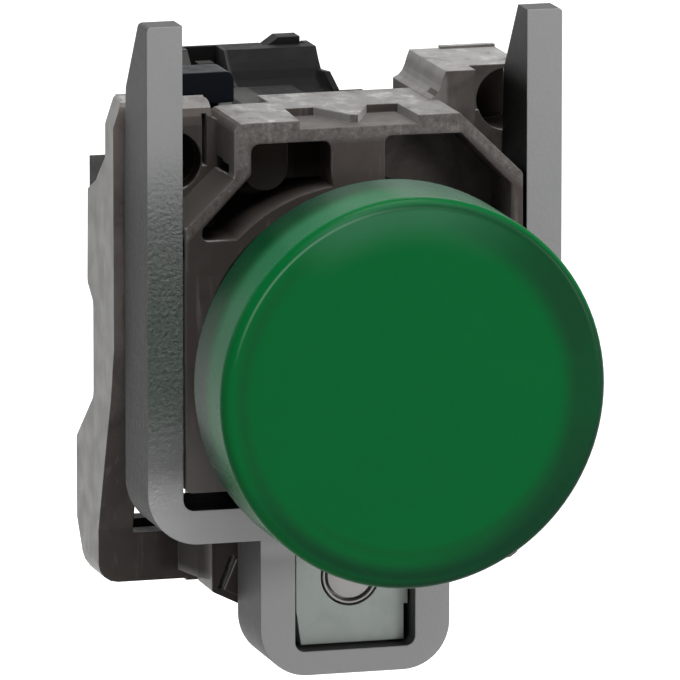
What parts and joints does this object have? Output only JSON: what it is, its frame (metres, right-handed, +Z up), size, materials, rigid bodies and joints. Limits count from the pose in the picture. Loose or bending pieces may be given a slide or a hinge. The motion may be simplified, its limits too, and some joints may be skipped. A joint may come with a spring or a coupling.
{
  "type": "panel pilot light",
  "caption": "Round green panel pilot light with a die-cast fixing collar, a sliding clamp fork and a clip-on light module with screw terminals.",
  "frame": {"origin": "on the lens axis, in the plane of the clamp fork's front face", "axes": "+X to the right seen from the front, +Y into the panel towards the module, +Z up"},
  "size_m": [0.0312, 0.0543, 0.0465],
  "materials": {
    "lens": "gloss",
    "diffuser": "matt",
    "dark_plastic": "satin",
    "cover_plastic": "satin",
    "seal": "matt",
    "cast": "satin",
    "fork_cast": "satin",
    "zinc_steel": "satin",
    "screw_steel": "satin",
    "brass": "satin",
    "clear": "gloss",
    "led_resin": "gloss",
    "board": "satin",
    "resistor_body": "satin"
  },
  "bodies": {
    "collar": {"collar_body": "cast", "ring_retainer": "dark_plastic", "retainer_screws": "screw_steel", "head_body": "dark_plastic", "lens_cap": "lens", "diffuser": "diffuser", "lens_gasket": "seal", "panel_seal": "seal", "module_housing": "dark_plastic", "module_cover": "cover_plastic", "light_guide": "clear", "led": "led_resin", "circuit_board": "board", "resistor": "resistor_body", "rectifier": "dark_plastic", "contact_bar_top": "brass", "contact_bar_bottom": "brass", "latch_spring": "zinc_steel"},
    "fork": {"clamp_fork": "fork_cast", "pressure_plate": "zinc_steel"},
    "screw": {"clamp_screw": "screw_steel"},
    "lever": {"locking_ring": "zinc_steel", "lever_grip": "dark_plastic"},
    "top_clamp": {"terminal_clamp_top": "zinc_steel"},
    "top_screw": {"terminal_screw_top": "screw_steel"},
    "bottom_clamp": {"terminal_clamp_bottom": "zinc_steel"},
    "bottom_screw": {"terminal_screw_bottom": "screw_steel"},
    "latch": {"release_latch": "dark_plastic"}
  },
  "joints": [
    {"name": "fork_slide", "type": "slide", "parent": "collar", "child": "fork", "axis": [0, -1, 0], "range_m": [0, 0.0056]},
    {"name": "screw_turn", "type": "hinge", "parent": "fork", "child": "screw", "pos_m": [0, 0.01, -0.01615], "axis": [0, -1, 0], "range_deg": [0, 2881]},
    {"name": "lever_turn", "type": "hinge", "parent": "collar", "child": "lever", "pos_m": [0, 0.0118, 0], "axis": [0, 1, 0], "range_deg": [0, 40]},
    {"name": "top_clamp_slide", "type": "slide", "parent": "collar", "child": "top_clamp", "axis": [0, -1, 0], "range_m": [0, 0.0022]},
    {"name": "top_screw_turn", "type": "hinge", "parent": "top_clamp", "child": "top_screw", "pos_m": [0, 0.03, 0.0092], "axis": [0, -1, 0], "range_deg": [0, 1321]},
    {"name": "bottom_clamp_slide", "type": "slide", "parent": "collar", "child": "bottom_clamp", "axis": [0, -1, 0], "range_m": [0, 0.0022]},
    {"name": "bottom_screw_turn", "type": "hinge", "parent": "bottom_clamp", "child": "bottom_screw", "pos_m": [0, 0.03, -0.0076], "axis": [0, -1, 0], "range_deg": [0, 1321]},
    {"name": "latch_release", "type": "hinge", "parent": "collar", "child": "latch", "pos_m": [0.00325, 0.024, 0.0132], "axis": [-1, 0, 0], "range_deg": [0, 7], "stiffness_Nm_per_rad": 0.02}
  ],
  "couplings": [
    {"joint": "screw_turn", "follows": "fork_slide", "rad_per_m": 8976},
    {"joint": "top_screw_turn", "follows": "top_clamp_slide", "rad_per_m": 10472},
    {"joint": "bottom_screw_turn", "follows": "bottom_clamp_slide", "rad_per_m": 10472}
  ]
}
